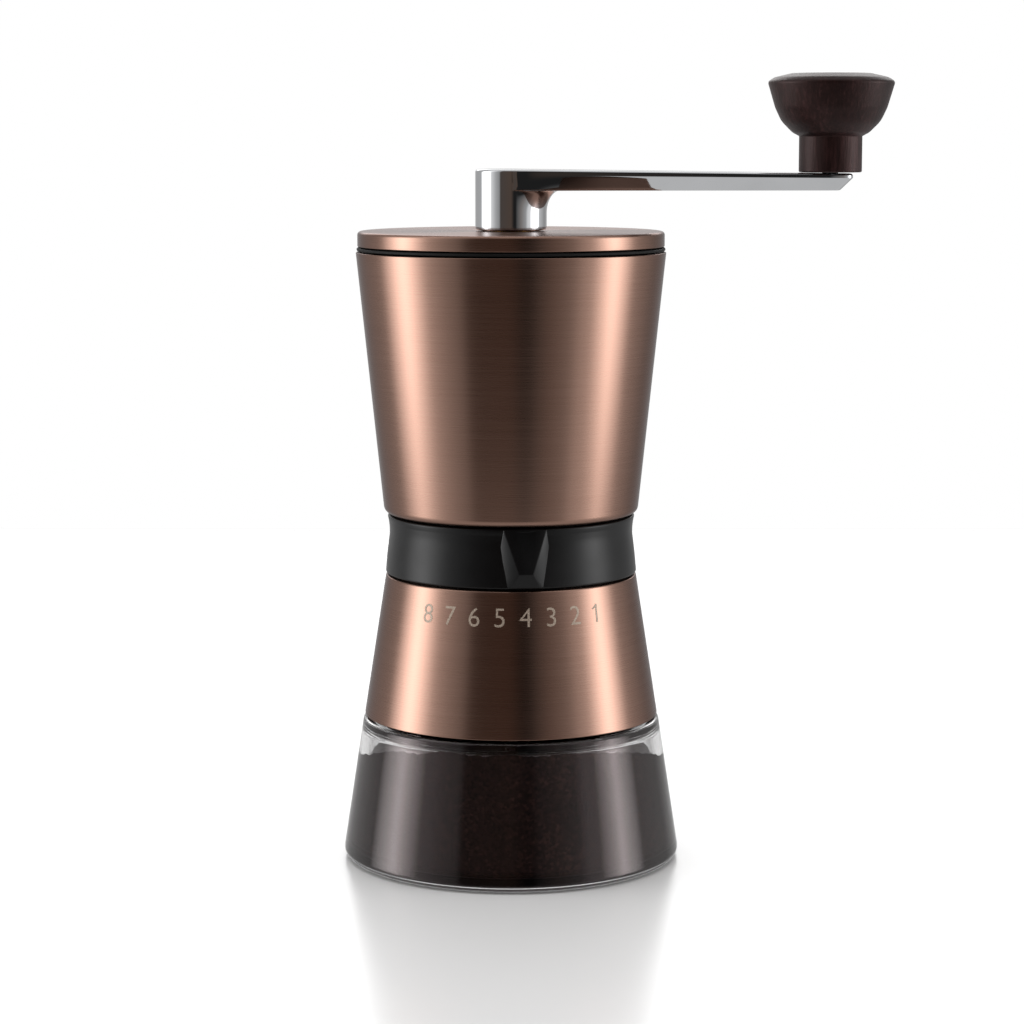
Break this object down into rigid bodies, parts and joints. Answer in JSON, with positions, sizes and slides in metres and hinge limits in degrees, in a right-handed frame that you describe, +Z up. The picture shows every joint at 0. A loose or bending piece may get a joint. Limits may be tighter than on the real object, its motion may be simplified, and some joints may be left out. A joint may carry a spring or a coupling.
{
  "type": "hand crank coffee grinder",
  "caption": "Hand crank coffee grinder: coppered steel hopper with lid and crank, numbered grind ring and a glass jar for the grounds.",
  "frame": {"origin": "centre of the glass jar's flat foot, on the table", "axes": "+Z up along the grinder's axis, +X towards the crank's knob at rest, -Y towards the scale on the skirt"},
  "size_m": [0.1391, 0.086, 0.1993],
  "materials": {
    "coppered_steel": "brushed round the axis, copper coloured coating",
    "black_plastic": "satin",
    "rubber": "matt",
    "polished_steel": "polished",
    "machined_steel": "turned",
    "ceramic": "matt, fired",
    "bronze": "sintered",
    "dark_wood": "stained dark, satin",
    "clear_glass": "clear"
  },
  "bodies": {
    "housing": {"hopper_shell": "coppered_steel", "hopper_liner": "black_plastic", "hopper_funnel": "black_plastic", "upper_bridge": "black_plastic", "upper_bush": "bronze", "burr_spring": "machined_steel", "burr_seat": "black_plastic", "outer_burr": "ceramic", "seat_screw_1": "machined_steel", "seat_screw_2": "machined_steel", "seat_screw_3": "machined_steel", "skirt_shell": "coppered_steel", "skirt_liner": "black_plastic", "deck_screw_1": "machined_steel", "deck_screw_2": "machined_steel", "deck_screw_3": "machined_steel", "click_leaf": "machined_steel"},
    "adjuster": {"adjust_ring": "black_plastic", "cam_sleeve": "black_plastic"},
    "carrier": {"lower_bridge": "machined_steel", "lower_bush": "bronze", "thrust_washer": "bronze"},
    "spindle": {"drive_shaft": "machined_steel", "inner_burr": "ceramic", "spring_washer": "machined_steel", "shaft_clip": "machined_steel"},
    "lid": {"lid_shell": "coppered_steel", "lid_liner": "black_plastic", "lid_seal": "rubber", "hub_bush": "bronze"},
    "crank": {"crank_arm": "polished_steel", "crank_washer": "machined_steel", "drive_socket": "machined_steel", "socket_screw": "machined_steel", "knob_sleeve": "machined_steel", "knob_screw": "machined_steel"},
    "knob": {"knob": "dark_wood", "knob_cap": "dark_wood"},
    "jar_lift": {"jar_gasket": "rubber"},
    "jar": {"glass_jar": "clear_glass"}
  },
  "joints": [
    {"name": "ring_turn", "type": "hinge", "parent": "housing", "child": "adjuster", "pos_m": [0, 0, 0.081], "axis": [0, 0, 1], "range_deg": [-44.8, 33.6]},
    {"name": "carrier_slide", "type": "slide", "parent": "housing", "child": "carrier", "axis": [0, 0, 1], "range_m": [-0.0006, 0.00045], "deforming": ["burr_spring"]},
    {"name": "spindle_spin", "type": "hinge", "parent": "carrier", "child": "spindle", "pos_m": [0, 0, 0.09], "axis": [0, 0, 1], "continuous": true},
    {"name": "lid_lift", "type": "slide", "parent": "housing", "child": "lid", "axis": [0, 0, 1], "range_m": [0, 0.04]},
    {"name": "crank_spin", "type": "hinge", "parent": "lid", "child": "crank", "pos_m": [0, 0, 0.165], "axis": [0, 0, 1], "continuous": true},
    {"name": "knob_spin", "type": "hinge", "parent": "crank", "child": "knob", "pos_m": [0.0802, 0, 0.187], "axis": [0, 0, 1], "continuous": true},
    {"name": "jar_drop", "type": "slide", "parent": "housing", "child": "jar_lift", "axis": [0, 0, 1], "range_m": [-0.016, 0]},
    {"name": "jar_turn", "type": "hinge", "parent": "jar_lift", "child": "jar", "pos_m": [0, 0, 0.02], "axis": [0, 0, 1], "range_deg": [-720, 0]}
  ],
  "couplings": [
    {"joint": "ring_turn", "follows": "carrier_slide", "rad_per_m": 1309},
    {"joint": "spindle_spin", "follows": "crank_spin", "ratio": 1},
    {"joint": "jar_turn", "follows": "jar_drop", "rad_per_m": 785.4}
  ]
}
